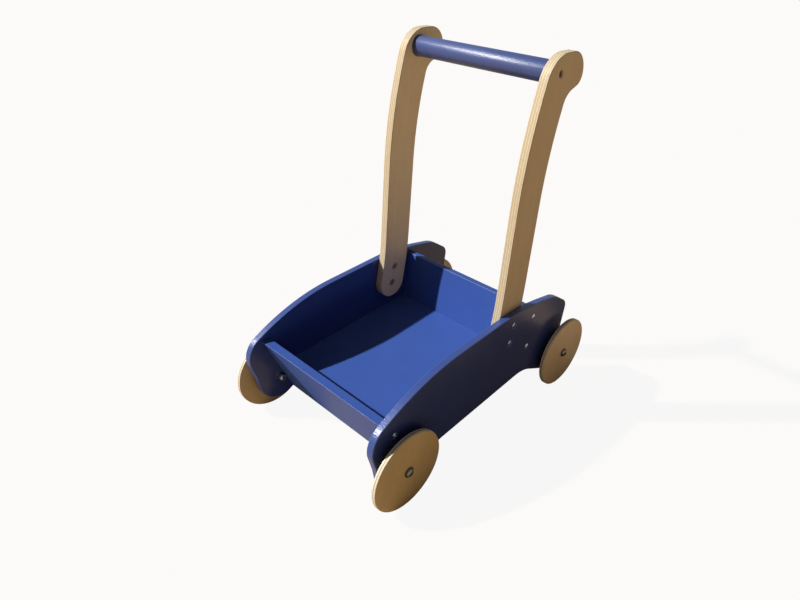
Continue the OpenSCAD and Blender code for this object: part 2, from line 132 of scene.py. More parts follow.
def makeVeneerGrain():
    tree, into, out = newGroup(
        "veneerGrain",
        [("Vector", "NodeSocketVector"), ("Pitch", "NodeSocketFloat")],
        [("Streaks", "NodeSocketFloat"), ("Cloud", "NodeSocketFloat"), ("Pores", "NodeSocketFloat")])
    # the grain runs along Z of the vector: long, thin streaks that wander a little
    drift = noise(tree, stretch(tree, into["Vector"], veneer["drift"]))
    aside = wire(tree, "ShaderNodeCombineXYZ", {"Y": calc(tree, "MULTIPLY", drift, veneer["bend"])}).outputs[0]
    bent = added(tree, into["Vector"], aside)
    perPitch = calc(tree, "DIVIDE", 1.0, into["Pitch"])
    tight = scaled(tree, stretch(tree, bent, veneer["streak"]), perPitch)
    tree.links.new(noise(tree, tight, detail=4.0, roughness=0.6), out["Streaks"])
    tree.links.new(noise(tree, stretch(tree, into["Vector"], veneer["cloud"]), detail=3.0), out["Cloud"])
    pores = noise(tree, stretch(tree, into["Vector"], veneer["pore"]), detail=1.0)
    tree.links.new(remap(tree, pores, *veneer["poreRange"]), out["Pores"])
    return tree


plies = {
    "wander": (60, 60, 60),
    "wanderShare": 0.16,                    # of one ply
    "lineCore": 0.3,                        # share of a glue line that is fully dark
    "fibre": (2400, 420, 420),
}


def makePlyLines():
    tree, into, out = newGroup(
        "plyLines",
        [("Vector", "NodeSocketVector"), ("First Face", "NodeSocketFloat"), ("Ply", "NodeSocketFloat"),
         ("Line", "NodeSocketFloat")],
        [("Cross Ply", "NodeSocketFloat"), ("Glue Line", "NodeSocketFloat"), ("Fibre", "NodeSocketFloat")])
    # both sides of the walker are mirror images, so depth is counted from |x|
    place = wire(tree, "ShaderNodeSeparateXYZ", {0: into["Vector"]}).outputs
    wander = calc(tree, "SUBTRACT", noise(tree, stretch(tree, into["Vector"], plies["wander"])), 0.5)
    depth = calc(tree, "SUBTRACT", calc(tree, "ABSOLUTE", place["X"]), into["First Face"])
    count = calc(tree, "ADD", calc(tree, "DIVIDE", depth, into["Ply"]),
                 calc(tree, "MULTIPLY", wander, plies["wanderShare"]))
    inPly = calc(tree, "FRACT", count)
    odd = calc(tree, "MODULO", calc(tree, "FLOOR", count), 2.0)
    tree.links.new(calc(tree, "GREATER_THAN", odd, 0.5), out["Cross Ply"])
    fromLine = calc(tree, "MINIMUM", inPly, calc(tree, "SUBTRACT", 1.0, inPly))
    core = calc(tree, "MULTIPLY", into["Line"], plies["lineCore"])
    tree.links.new(remap(tree, fromLine, core, into["Line"], 1.0, 0.0), out["Glue Line"])
    tree.links.new(noise(tree, stretch(tree, into["Vector"], plies["fibre"])), out["Fibre"])
    return tree


paintSkin = {
    "mottle": 22.0,
    "patches": 70.0,
    "patchEdge": 0.12,                      # how softly a worn patch ends
}


def makeOrangePeel():
    tree, into, out = newGroup(
        "orangePeel",
        [("Vector", "NodeSocketVector"), ("Size", "NodeSocketFloat")],
        [("Height", "NodeSocketFloat"), ("Mottle", "NodeSocketFloat")])
    small = scaled(tree, into["Vector"], calc(tree, "DIVIDE", 1.0, into["Size"]))
    tree.links.new(noise(tree, small), out["Height"])
    tree.links.new(noise(tree, into["Vector"], paintSkin["mottle"], 4.0, 0.6), out["Mottle"])
    return tree


def makeEdgeWear():
    tree, into, out = newGroup(
        "edgeWear",
        [("Edge", "NodeSocketFloat"), ("Vector", "NodeSocketVector"), ("Amount", "NodeSocketFloat")],
        [("Mask", "NodeSocketFloat")])
    patches = noise(tree, into["Vector"], paintSkin["patches"], 5.0, 0.7)
    limit = calc(tree, "SUBTRACT", 1.0, into["Amount"])
    worn = remap(tree, patches, limit, calc(tree, "ADD", limit, paintSkin["patchEdge"]))
    tree.links.new(calc(tree, "MULTIPLY", worn, into["Edge"]), out["Mask"])
    return tree


veneerGrain = makeVeneerGrain()
plyLines = makePlyLines()
orangePeel = makeOrangePeel()
edgeWear = makeEdgeWear()
print("shader groups: veneerGrain, plyLines, orangePeel, edgeWear")


# finishes

def newFinish(name, roughness, settings):
    finish = bpy.data.materials.new(name)
    finish.use_nodes = True
    tree = finish.node_tree
    tree.nodes.clear()
    shader = wire(tree, "ShaderNodeBsdfPrincipled", {"Roughness": roughness, **settings})
    wire(tree, "ShaderNodeOutputMaterial", {"Surface": shader.outputs[0]})
    return finish, tree, shader.inputs


def addBump(tree, into, height, strength, depth):
    bump = wire(tree, "ShaderNodeBump", {"Strength": strength, "Distance": depth, "Height": height})
    tree.links.new(bump.outputs[0], into["Normal"])


def objectPlace(tree):
    return wire(tree, "ShaderNodeTexCoord").outputs["Object"]


def edgeAmount(tree):
    return wire(tree, "ShaderNodeAttribute", attribute_name="edge").outputs["Fac"]


# colours are linear, sizes in metres
bluePaint = {
    "tray": {"coat": (0.052, 0.113, 0.405, 1), "deep": (0.043, 0.096, 0.365, 1), "specular": 0.17,
             "peel": 0.0022, "depth": 0.00004, "wear": 0.30, "roughness": 0.44},
    # sides is a darker copy of the blue paint for the side panels' broad faces, as painted shade; the tray,
    # edges and easing copies of the same paint are lighter
    "sides": {"coat": (0.027, 0.050, 0.200, 1), "deep": (0.022, 0.042, 0.176, 1), "specular": 0.44,
              "peel": 0.0008, "depth": 0.00001, "wear": 0.30, "roughness": 0.21},
    "edges": {"coat": (0.041, 0.083, 0.300, 1), "deep": (0.035, 0.072, 0.270, 1), "specular": 0.62,
              "peel": 0.0021, "depth": 0.00034, "wear": 0.44, "roughness": 0.34},
    "easing": {"coat": (0.052, 0.105, 0.360, 1), "deep": (0.044, 0.092, 0.325, 1), "specular": 0.60,
               "peel": 0.0020, "depth": 0.00001, "wear": 0.22, "roughness": 0.50},
    "bar": {"coat": (0.056, 0.090, 0.270, 1), "deep": (0.044, 0.074, 0.232, 1), "specular": 0.74,
            "peel": 0.0013, "depth": 0.00048, "wear": 0.30, "roughness": 0.39},
    "worn": (0.150, 0.210, 0.430, 1),
    "roughShare": (0.93, 1.10),             # roughness varies between these shares of its value
    "bump": 0.6,
}


def makePaint(name, coat, deep, specular, peel, depth, wear, roughness):
    finish, tree, into = newFinish(name, roughness, {"Specular IOR Level": specular})
    place = objectPlace(tree)
    skin = useGroup(tree, orangePeel, {"Vector": place, "Size": peel})
    worn = useGroup(tree, edgeWear, {"Edge": edgeAmount(tree), "Vector": place, "Amount": wear})["Mask"]
    colour = blendColour(tree, skin["Mottle"], deep, coat)
    tree.links.new(blendColour(tree, worn, colour, bluePaint["worn"]), into["Base Color"])
    smooth, dull = bluePaint["roughShare"]
    tree.links.new(fromNoise(tree, skin["Mottle"], roughness * smooth, roughness * dull), into["Roughness"])
    addBump(tree, into, skin["Height"], bluePaint["bump"], depth)
    return finish


trayPaint = makePaint("trayPaint", **bluePaint["tray"])
shadedSidePaint = makePaint("shadedSidePaint", **bluePaint["sides"])
edgePaint = makePaint("edgePaint", **bluePaint["edges"])
easedPaint = makePaint("easedPaint", **bluePaint["easing"])
barPaint = makePaint("barPaint", **bluePaint["bar"])

birch = {
    # left and right are one birch veneer in two copies: the right upright's paler face is painted light, the
    # left's darker face painted shade
    "left": {"face": (0.665, 0.525, 0.320, 1), "dark": (0.575, 0.440, 0.255, 1), "streaked": 0.45},
    "right": {"face": (0.840, 0.690, 0.445, 1), "dark": (0.750, 0.595, 0.360, 1), "streaked": 0.45},
    # front and rear are one wheel veneer in two copies: the rear wheels' paler faces are painted light, the
    # front wheels' darker faces painted shade
    "front": {"face": (0.660, 0.495, 0.245, 1), "dark": (0.540, 0.390, 0.175, 1), "streaked": 0.22},
    "rear": {"face": (0.865, 0.690, 0.440, 1), "dark": (0.785, 0.600, 0.360, 1), "streaked": 0.22},
    "pore": (0.380, 0.260, 0.150, 1),
    "poreShare": 0.25,
    "pitch": 0.007,                         # spacing of the grain's streaks
    "streakRange": (0.35, 0.68),
    "streakHeight": 0.4,
    "specular": 0.4,
    "roughness": 0.48,
    "roughRange": (0.38, 0.52),
    "bump": 0.35,
    "depth": 0.00008,
}


def makeVeneer(name, face, dark, streaked, attribute=None):
    finish, tree, into = newFinish(name, birch["roughness"], {"Specular IOR Level": birch["specular"]})
    if attribute:
        place = wire(tree, "ShaderNodeAttribute", attribute_name=attribute).outputs["Vector"]
    else:
        place = objectPlace(tree)
    grain = useGroup(tree, veneerGrain, {"Vector": place, "Pitch": birch["pitch"]})
    streak = calc(tree, "MULTIPLY", remap(tree, grain["Streaks"], *birch["streakRange"]), streaked)
    cloud = calc(tree, "MULTIPLY", fromNoise(tree, grain["Cloud"]), 1 - streaked)
    colour = blendColour(tree, calc(tree, "ADD", streak, cloud), dark, face)
    pores = calc(tree, "MULTIPLY", grain["Pores"], birch["poreShare"])
    tree.links.new(blendColour(tree, pores, colour, birch["pore"]), into["Base Color"])
    tree.links.new(fromNoise(tree, grain["Cloud"], *birch["roughRange"]), into["Roughness"])
    ridges = calc(tree, "MULTIPLY", grain["Streaks"], birch["streakHeight"])
    addBump(tree, into, calc(tree, "SUBTRACT", ridges, grain["Pores"]), birch["bump"], birch["depth"])
    return finish


# a ply's share is its part of the board, a line's is its part of a ply
plyEdge = {
    "upright": {"light": (0.810, 0.690, 0.490, 1), "cross": (0.680, 0.540, 0.340, 1), "plyShare": 1 / 7,
                "line": 0.16, "dark": 0.90},
    # the wheel rims' plies are paler and greyer than the uprights' edges: birch edge colour with a painted
    # sheen of the sky added
    "wheel": {"light": (0.820, 0.740, 0.600, 1), "cross": (0.860, 0.760, 0.580, 1), "plyShare": 0.52,
              "line": 0.22, "dark": 1.0},
    "glue": (0.330, 0.240, 0.115, 1),
    "fibreShade": (0.92, 1.04),
    "specular": 0.35,
    "roughness": 0.55,
    "roughRange": (0.48, 0.62),
    "bump": 0.4,
    "depth": 0.0001,
}


def makePlyEdge(name, firstFace, thickness, light, cross, plyShare, line, dark):
    finish, tree, into = newFinish(name, plyEdge["roughness"], {"Specular IOR Level": plyEdge["specular"]})
    lines = useGroup(tree, plyLines, {"Vector": objectPlace(tree), "First Face": firstFace,
                                      "Ply": thickness * plyShare, "Line": line})
    colour = blendColour(tree, lines["Cross Ply"], light, cross)
    colour = blendColour(tree, calc(tree, "MULTIPLY", lines["Glue Line"], dark), colour, plyEdge["glue"])
    fibre = fromNoise(tree, lines["Fibre"], *plyEdge["fibreShade"])
    shade = wire(tree, "ShaderNodeCombineColor", {0: fibre, 1: fibre, 2: fibre}).outputs[0]
    tree.links.new(blendColour(tree, 1.0, colour, shade, "MULTIPLY"), into["Base Color"])
    tree.links.new(fromNoise(tree, lines["Fibre"], *plyEdge["roughRange"]), into["Roughness"])
    height = calc(tree, "SUBTRACT", lines["Fibre"], lines["Glue Line"])
    addBump(tree, into, height, plyEdge["bump"], plyEdge["depth"])
    return finish


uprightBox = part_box("left_upright")
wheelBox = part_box("front_left_wheel")
boardThickness = uprightBox[1].x - uprightBox[0].x
wheelThickness = wheelBox[1].x - wheelBox[0].x
uprightFaces = {side: makeVeneer(f"{side}UprightFace", **birch[side]) for side in ("left", "right")}
uprightEdge = makePlyEdge("uprightEdge", uprightBox[0].x, boardThickness, **plyEdge["upright"])
wheelFaces = {end: makeVeneer(f"{end}WheelFace", attribute="grain", **birch[end]) for end in ("front", "rear")}
wheelRim = makePlyEdge("wheelRim", wheelBox[0].x, wheelThickness, **plyEdge["wheel"])

metals = {
    "zincSteel": {"bright": (0.34, 0.33, 0.30, 1), "dull": (0.16, 0.15, 0.13, 1), "roughness": 0.14},
    "darkSteel": {"bright": (0.16, 0.14, 0.12, 1), "dull": (0.08, 0.07, 0.06, 1), "roughness": 0.42},
    "brightZinc": {"bright": (0.86, 0.91, 0.97, 1), "dull": (0.66, 0.71, 0.78, 1), "roughness": 0.15},
    "dullZinc": {"bright": (0.55, 0.61, 0.74, 1), "dull": (0.40, 0.45, 0.56, 1), "roughness": 0.17},
    # the bar screws' dark brown is painted shade, standing for the shaded deep holes the heads sit in
    "shadedBrownSteel": {"bright": (0.20, 0.14, 0.065, 1), "dull": (0.12, 0.085, 0.040, 1), "roughness": 0.55},
    "bronze": {"bright": (0.46, 0.33, 0.18, 1), "dull": (0.28, 0.20, 0.105, 1), "roughness": 0.48},
}
metalSkin = {
    "cloud": 260.0,
    "scratch": (300, 5200, 900),
    "smoother": 0.06,                       # the scratches change the roughness by this much
    "rougher": 0.1,
    "bump": 0.2,
    "depth": 0.00002,
}


def makeMetal(name, bright, dull, roughness):
    finish, tree, into = newFinish(name, roughness, {"Metallic": 1.0})
    place = objectPlace(tree)
    cloud = noise(tree, place, metalSkin["cloud"], 4.0, 0.65)
    scratches = noise(tree, stretch(tree, place, metalSkin["scratch"]))
    tree.links.new(blendColour(tree, cloud, dull, bright), into["Base Color"])
    low, high = roughness - metalSkin["smoother"], roughness + metalSkin["rougher"]
    tree.links.new(fromNoise(tree, scratches, low, high), into["Roughness"])
    addBump(tree, into, scratches, metalSkin["bump"], metalSkin["depth"])
    return finish


metal = {name: makeMetal(name, **look) for name, look in metals.items()}

nylonLook = {
    "pale": (0.74, 0.72, 0.66, 1),
    "deep": (0.62, 0.59, 0.52, 1),
    "cloud": 180.0,
    "roughness": 0.5,
    "roughRange": (0.44, 0.58),
    "bump": 0.2,
    "depth": 0.00003,
}


def makeNylon():
    finish, tree, into = newFinish("nylon", nylonLook["roughness"], {})
    cloud = noise(tree, objectPlace(tree), nylonLook["cloud"], 3.0)
    tree.links.new(blendColour(tree, cloud, nylonLook["deep"], nylonLook["pale"]), into["Base Color"])
    tree.links.new(fromNoise(tree, cloud, *nylonLook["roughRange"]), into["Roughness"])
    addBump(tree, into, cloud, nylonLook["bump"], nylonLook["depth"])
    return finish


nylon = makeNylon()
print("finishes:", len(bpy.data.materials), "materials")


# boards: merged copies of the CAD solids with eased edges

# metres and degrees; a lean is that of the broad face from upright
boards = {
    "sidePanel": {"ease": 0.0012, "segments": 3},
    "upright": {"ease": 0.0010, "segments": 3},
    "tray": {"ease": 0.0009, "segments": 3},
    "bar": {"ease": 0.0005, "segments": 2},
    "nuts": {"ease": 0.0003, "segments": 2},
    "lean": {"front_panel": 23.0, "rear_panel": -7.4, "floor_panel": 93.5},
    "levelAngle": 0.3,                      # triangles that differ by less are one face
    "sharpAngle": 40.0,                     # edges sharper than this are eased
    "flatness": 0.9995,
}


def bakeModifiers(piece):
    graph = bpy.context.evaluated_depsgraph_get()
    grown = piece.evaluated_get(graph)
    mesh = bpy.data.meshes.new_from_object(grown, preserve_all_data_layers=True, depsgraph=graph)
    piece.modifiers.clear()
    piece.data = mesh


def finishPiece(piece, body, cad):
    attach(piece, body)
    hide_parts(cad)


def newPiece(name, mesh):
    piece = bpy.data.objects.new(name, mesh)
    bpy.context.collection.objects.link(piece)
    return piece


def mergedCopy(cad):
    name = camelName(cad)
    mesh = cadNodes[cad].data.copy()
    mesh.name = name
    shape = bmesh.new()
    shape.from_mesh(mesh)
    bmesh.ops.remove_doubles(shape, verts=shape.verts, dist=weld)
    bmesh.ops.dissolve_limit(shape, angle_limit=math.radians(boards["levelAngle"]),
                             verts=shape.verts, edges=shape.edges)
    shape.to_mesh(mesh)
    shape.free()
    mesh.materials.clear()
    return newPiece(name, mesh)


def easeEdges(piece, materials, ease, segments):
    # slots: 0 broad faces, 1 cut edges, 2 the easing itself
    for material in materials:
        piece.data.materials.append(material)
    bevel = piece.modifiers.new("ease", "BEVEL")
    bevel.width = ease
    bevel.segments = segments
    bevel.limit_method = "ANGLE"
    bevel.angle_limit = math.radians(boards["sharpAngle"])
    bevel.use_clamp_overlap = False
    bevel.harden_normals = True
    bevel.material = len(materials) - 1
    bakeModifiers(piece)


def markFaces(piece, across):
    # broad faces stay flat, and only the easing can be worn
    mesh = piece.data
    normals = [corner.vector.copy() for corner in mesh.corner_normals]
    worn = []
    for face in mesh.polygons:
        eased = face.material_index == 2
        broad = not eased and abs(face.normal.dot(across)) > boards["flatness"]
        worn.append(1.0 if eased else 0.0)
        face.use_smooth = True
        if broad:
            for i in face.loop_indices:
                normals[i] = face.normal.copy()
        if not eased:
            face.material_index = 0 if broad else 1
    mesh.attributes.new("edge", "FLOAT", "FACE").data.foreach_set("value", worn)
    mesh.normals_split_custom_set(normals)


def trimLevel(piece, height):
    shape = bmesh.new()
    shape.from_mesh(piece.data)
    bmesh.ops.bisect_plane(shape, geom=shape.verts[:] + shape.edges[:] + shape.faces[:], dist=weld,
                           plane_co=(0, 0, height), plane_no=(0, 0, 1), clear_outer=True)
    bmesh.ops.holes_fill(shape, edges=[edge for edge in shape.edges if edge.is_boundary])
    shape.to_mesh(piece.data)
    shape.free()


def dressBoard(cad, slot, materials, ease, segments, across=(1, 0, 0), level=None):
    piece = mergedCopy(cad)
    if level is not None:
        trimLevel(piece, level)
    easeEdges(piece, materials, ease, segments)
    markFaces(piece, Vector(across))
    finishPiece(piece, "frame", cad)


def leaning(degrees):
    lean = math.radians(degrees)
    return 0, math.cos(lean), math.sin(lean)


# the side panels' broad faces take the darker, painted-shade copy of the blue paint
painted = (shadedSidePaint, edgePaint, easedPaint)
for side in ("left", "right"):
    dressBoard(f"{side}_side_panel", "blue_paint", painted, **boards["sidePanel"])
    plain = (uprightFaces[side], uprightEdge, uprightEdge)
    dressBoard(f"{side}_upright", "plywood", plain, **boards["upright"])
# the front panel's top is cut level at its front corner, the lower one of the CAD panel's square top
frontRise = boardThickness * leaning(boards["lean"]["front_panel"])[2]
levels = {"front_panel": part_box("front_panel")[1].z - frontRise}
for cad, lean in boards["lean"].items():
    dressBoard(cad, "blue_paint", (trayPaint, trayPaint, easedPaint), **boards["tray"],
               across=leaning(lean), level=levels.get(cad))
dressBoard("push_bar", "blue_paint", (barPaint,) * 3, **boards["bar"])
print("boards: 2 side panels, 2 uprights, front, rear, floor and bar")


# geometry node trees

def newNodeTree(name, inputs):
    tree = bpy.data.node_groups.new(name, "GeometryNodeTree")
    tree.is_modifier = True
    tree.interface.new_socket("Geometry", in_out="INPUT", socket_type="NodeSocketGeometry")
    for socketName, kind in inputs:
        tree.interface.new_socket(socketName, in_out="INPUT", socket_type=kind)
    tree.interface.new_socket("Geometry", in_out="OUTPUT", socket_type="NodeSocketGeometry")
    return tree, tree.nodes.new("NodeGroupInput").outputs, tree.nodes.new("NodeGroupOutput").inputs


def growPiece(name, mesh, tree, values):
    piece = newPiece(name, mesh)
    grow = piece.modifiers.new(tree.name, "NODES")
    grow.node_group = tree
    for item in tree.interface.items_tree:
        if item.in_out == "INPUT" and item.name in values:
            grow[item.identifier] = values[item.name]
    bakeModifiers(piece)
    return piece


def sweepRound(tree, into, sides, ease, steps):
    # a section with rounded corners, swept round Z between the bore and the radius
    middle = calc(tree, "MULTIPLY", calc(tree, "ADD", into["Radius"], into["Bore"]), 0.5)
    path = wire(tree, "GeometryNodeCurvePrimitiveCircle", {"Resolution": sides, "Radius": middle})
    section = wire(tree, "GeometryNodeCurvePrimitiveQuadrilateral",
                   {"Width": calc(tree, "SUBTRACT", into["Radius"], into["Bore"]), "Height": into["Thickness"]})
    eased = wire(tree, "GeometryNodeFilletCurve",
                 {"Curve": section.outputs[0], "Radius": ease, "Limit Radius": True, "Count": steps},
                 mode="POLY")
    swept = wire(tree, "GeometryNodeCurveToMesh",
                 {"Curve": path.outputs[0], "Profile Curve": eased.outputs[0], "Fill Caps": False})
    return swept.outputs[0]


def position(tree):
    return wire(tree, "GeometryNodeInputPosition").outputs[0]


# wheels: a rounded section swept round the hub

wheels = {
    "bore": 0.0051,
    "rim": 0.0015,
    "boreEase": 0.0003,
    "easeSteps": 6,
    "segments": 160,
    "flatness": 0.98,
    # radians that each wheel's grain is turned
    "turns": {"front_left": 0.3, "front_right": 1.7, "rear_left": -0.25, "rear_right": 2.4},
}


def makeWheelTree():
    tree, into, out = newNodeTree("sweptWheel", [
        ("Hub", "NodeSocketVector"), ("Radius", "NodeSocketFloat"), ("Bore", "NodeSocketFloat"),
        ("Thickness", "NodeSocketFloat"), ("Rim", "NodeSocketFloat"), ("Bore Ease", "NodeSocketFloat"),
        ("Segments", "NodeSocketInt"), ("Grain Turn", "NodeSocketFloat"),
        ("Face", "NodeSocketMaterial"), ("Rim Finish", "NodeSocketMaterial")])
    corner = wire(tree, "ShaderNodeSeparateXYZ", {0: position(tree)})
    outer = wire(tree, "FunctionNodeCompare", {0: corner.outputs["X"], 1: 0.0}, operation="GREATER_THAN")
    ease = wire(tree, "GeometryNodeSwitch",
                {0: outer.outputs[0], 1: into["Bore Ease"], 2: into["Rim"]}, input_type="FLOAT")
    swept = sweepRound(tree, into, into["Segments"], ease.outputs[0], wheels["easeSteps"])
    normal = wire(tree, "ShaderNodeSeparateXYZ", {0: wire(tree, "GeometryNodeInputNormal").outputs[0]})
    flat = wire(tree, "FunctionNodeCompare",
                {0: calc(tree, "ABSOLUTE", normal.outputs["Z"]), 1: wheels["flatness"]},
                operation="GREATER_THAN").outputs[0]
    curved = wire(tree, "FunctionNodeBooleanMath", {0: flat}, operation="NOT").outputs[0]
    smooth = wire(tree, "GeometryNodeSetShadeSmooth", {"Geometry": swept, "Shade Smooth": curved})
    # the grain lies across the disc, each wheel's at its own turn
    spun = wire(tree, "ShaderNodeVectorRotate", {"Vector": position(tree), "Angle": into["Grain Turn"]},
                rotation_type="Z_AXIS").outputs[0]
    upright = wire(tree, "ShaderNodeVectorRotate", {"Vector": spun, "Angle": math.pi / 2},
                   rotation_type="Y_AXIS").outputs[0]
    stored = wire(tree, "GeometryNodeStoreNamedAttribute",
                  {"Geometry": smooth.outputs[0], "Name": "grain", "Value": added(tree, upright, into["Hub"])},
                  data_type="FLOAT_VECTOR", domain="POINT")
    faced = wire(tree, "GeometryNodeSetMaterial",
                 {"Geometry": stored.outputs[0], "Selection": flat, "Material": into["Face"]})
    rimmed = wire(tree, "GeometryNodeSetMaterial",
                  {"Geometry": faced.outputs[0], "Selection": curved, "Material": into["Rim Finish"]})
    placed = wire(tree, "GeometryNodeTransform",
                  {"Geometry": rimmed.outputs[0], "Translation": into["Hub"], "Rotation": (0, math.pi / 2, 0)})
    real = wire(tree, "GeometryNodeRealizeInstances", {"Geometry": placed.outputs[0]})
    tree.links.new(real.outputs[0], out["Geometry"])
    return tree


wheelTree = makeWheelTree()
for corner in corners:
    cad = f"{corner}_wheel"
    low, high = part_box(cad)
    end = corner.split("_")[0]
    piece = growPiece(camelName(cad), bpy.data.meshes.new("wheelStart"), wheelTree, {
        "Hub": (low + high) / 2, "Radius": (high.z - low.z) / 2, "Bore": wheels["bore"],
        "Thickness": high.x - low.x, "Rim": wheels["rim"], "Bore Ease": wheels["boreEase"],
        "Segments": wheels["segments"], "Grain Turn": wheels["turns"][corner],
        "Face": wheelFaces[end], "Rim Finish": wheelRim})
    finishPiece(piece, cad, cad)
print("wheels:", len(corners), "swept discs")


# fastenings: keyed heads and turned rings, set on points that look along their axis

turned = {
    "headSides": 40,
    "headRings": 8,
    "shankSides": 24,
    "ringSides": 48,
    "easeSteps": 3,
    "keyReach": 0.01,                       # length of the cutter that makes the key
    "spin": 1.05,                           # most that a fastening is turned by chance, in radians
    "sharpAngle": 62.0,                     # degrees
}


def setAlong(tree, points, instance, seed, finish):
    outward = wire(tree, "GeometryNodeInputNamedAttribute", {"Name": "outward"},
                   data_type="FLOAT_VECTOR").outputs[0]
    facing = wire(tree, "FunctionNodeAlignRotationToVector", {"Vector": outward}, axis="Z").outputs[0]
    spin = wire(tree, "FunctionNodeRandomValue", {2: 0.0, 3: turned["spin"], "Seed": seed},
                data_type="FLOAT").outputs[1]
    twist = wire(tree, "FunctionNodeAxisAngleToRotation", {"Axis": (0, 0, 1), "Angle": spin}).outputs[0]
    aimed = wire(tree, "FunctionNodeRotateRotation", {0: facing, 1: twist}, rotation_space="LOCAL").outputs[0]
    setOut = wire(tree, "GeometryNodeInstanceOnPoints",
                  {"Points": points, "Instance": instance, "Rotation": aimed})
    real = wire(tree, "GeometryNodeRealizeInstances", {"Geometry": setOut.outputs[0]})
    return wire(tree, "GeometryNodeSetMaterial", {"Geometry": real.outputs[0], "Material": finish}).outputs[0]


def upBy(tree, value):
    return wire(tree, "ShaderNodeCombineXYZ", {"Z": value}).outputs[0]


def makeHeadTree():
    tree, into, out = newNodeTree("keyedHeads", [
        ("Head Radius", "NodeSocketFloat"), ("Head Height", "NodeSocketFloat"), ("Dome", "NodeSocketFloat"),
        ("Crown", "NodeSocketFloat"),
        ("Shank Radius", "NodeSocketFloat"), ("Shank", "NodeSocketFloat"), ("Key Radius", "NodeSocketFloat"),
        ("Key Waist", "NodeSocketFloat"), ("Key Points", "NodeSocketInt"), ("Key Depth", "NodeSocketFloat"),
        ("Seed", "NodeSocketInt"), ("Finish", "NodeSocketMaterial")])
    half = calc(tree, "MULTIPLY", into["Head Height"], 0.5)
    head = wire(tree, "GeometryNodeMeshCylinder",
                {"Vertices": turned["headSides"], "Side Segments": 1, "Fill Segments": turned["headRings"],
                 "Radius": into["Head Radius"], "Depth": into["Head Height"]}, fill_type="TRIANGLE_FAN")
    axes = wire(tree, "ShaderNodeSeparateXYZ", {0: position(tree)}).outputs
    flatPlace = wire(tree, "ShaderNodeCombineXYZ", {"X": axes["X"], "Y": axes["Y"]}).outputs[0]
    reach = wire(tree, "ShaderNodeVectorMath", {0: flatPlace}, operation="LENGTH").outputs["Value"]
    share = calc(tree, "DIVIDE", reach, into["Head Radius"])
    # a crown of 2 is a full dome, and a higher one a flat head with a rounded rim
    fall = calc(tree, "POWER", share, into["Crown"])
    bulge = calc(tree, "MULTIPLY", calc(tree, "SUBTRACT", 1.0, fall), into["Dome"])
    domed = wire(tree, "GeometryNodeSetPosition",
                 {"Geometry": head.outputs["Mesh"], "Selection": head.outputs["Top"],
                  "Offset": upBy(tree, bulge)})
    # three points of equal reach make a hexagon, four with a narrow waist a cross
    star = wire(tree, "GeometryNodeCurveStar",
                {"Points": into["Key Points"], "Inner Radius": into["Key Waist"],
                 "Outer Radius": into["Key Radius"]})
    keyFloor = calc(tree, "SUBTRACT", calc(tree, "ADD", half, into["Dome"]), into["Key Depth"])
    keyTop = calc(tree, "ADD", keyFloor, turned["keyReach"])
    line = wire(tree, "GeometryNodeCurvePrimitiveLine",
                {"Start": upBy(tree, keyFloor), "End": upBy(tree, keyTop)})
    key = wire(tree, "GeometryNodeCurveToMesh",
               {"Curve": line.outputs[0], "Profile Curve": star.outputs[0], "Fill Caps": True})
    cut = wire(tree, "GeometryNodeMeshBoolean", {"Mesh 1": domed.outputs[0], "Mesh 2": key.outputs[0]},
               operation="DIFFERENCE", solver="EXACT")
    # the cut leaves slivers along the key
    clean = wire(tree, "GeometryNodeMergeByDistance", {"Geometry": cut.outputs["Mesh"], "Distance": weld})
    seated = wire(tree, "GeometryNodeTransform",
                  {"Geometry": clean.outputs[0], "Translation": upBy(tree, half)})
    shank = wire(tree, "GeometryNodeMeshCylinder",
                 {"Vertices": turned["shankSides"], "Radius": into["Shank Radius"], "Depth": into["Shank"]})
    below = upBy(tree, calc(tree, "MULTIPLY", into["Shank"], -0.5))
    shankPlaced = wire(tree, "GeometryNodeTransform", {"Geometry": shank.outputs["Mesh"], "Translation": below})
    whole = tree.nodes.new("GeometryNodeJoinGeometry")
    tree.links.new(seated.outputs[0], whole.inputs[0])
    tree.links.new(shankPlaced.outputs[0], whole.inputs[0])
    setOut = setAlong(tree, into["Geometry"], whole.outputs[0], into["Seed"], into["Finish"])
    tree.links.new(setOut, out["Geometry"])
    return tree


def makeRingTree():
    tree, into, out = newNodeTree("turnedRings", [
        ("Radius", "NodeSocketFloat"), ("Bore", "NodeSocketFloat"), ("Thickness", "NodeSocketFloat"),
        ("Ease", "NodeSocketFloat"), ("Seed", "NodeSocketInt"), ("Finish", "NodeSocketMaterial")])
    swept = sweepRound(tree, into, turned["ringSides"], into["Ease"], turned["easeSteps"])
    setOut = setAlong(tree, into["Geometry"], swept, into["Seed"], into["Finish"])
    tree.links.new(setOut, out["Geometry"])
    return tree


def solidBoxes(cad):
    # one box for each separate solid of a CAD node, in a fixed order
    shape = bmesh.new()
    shape.from_mesh(cadNodes[cad].data)
    bmesh.ops.remove_doubles(shape, verts=shape.verts, dist=weld)
    waiting = {v: None for v in shape.verts}
    boxes = []
    while waiting:
        front = [waiting.popitem()[0]]
        places = []
        while front:
            v = front.pop()
            places.append(v.co.copy())
            for edge in v.link_edges:
                other = edge.other_vert(v)
                if other in waiting:
                    del waiting[other]
                    front.append(other)
        boxes.append(tuple(Vector([pick(p[i] for p in places) for i in range(3)]) for pick in (min, max)))
    shape.free()
    return sorted(boxes, key=lambda box: tuple(round(c, 5) for c in box[0]))


def pointMesh(name, places, directions):
    mesh = bpy.data.meshes.new(name)
    mesh.from_pydata(places, [], [])
    outward = mesh.attributes.new("outward", "FLOAT_VECTOR", "POINT")
    outward.data.foreach_set("vector", [c for d in directions for c in d])
    return mesh


def growTurned(cad, places, directions, tree, values):
    name = camelName(cad)
    piece = growPiece(name, pointMesh(name + "Points", places, directions), tree, values)
    piece.data.shade_smooth()
    piece.data.set_sharp_from_angle(angle=math.radians(turned["sharpAngle"]))
    finishPiece(piece, "frame", cad)


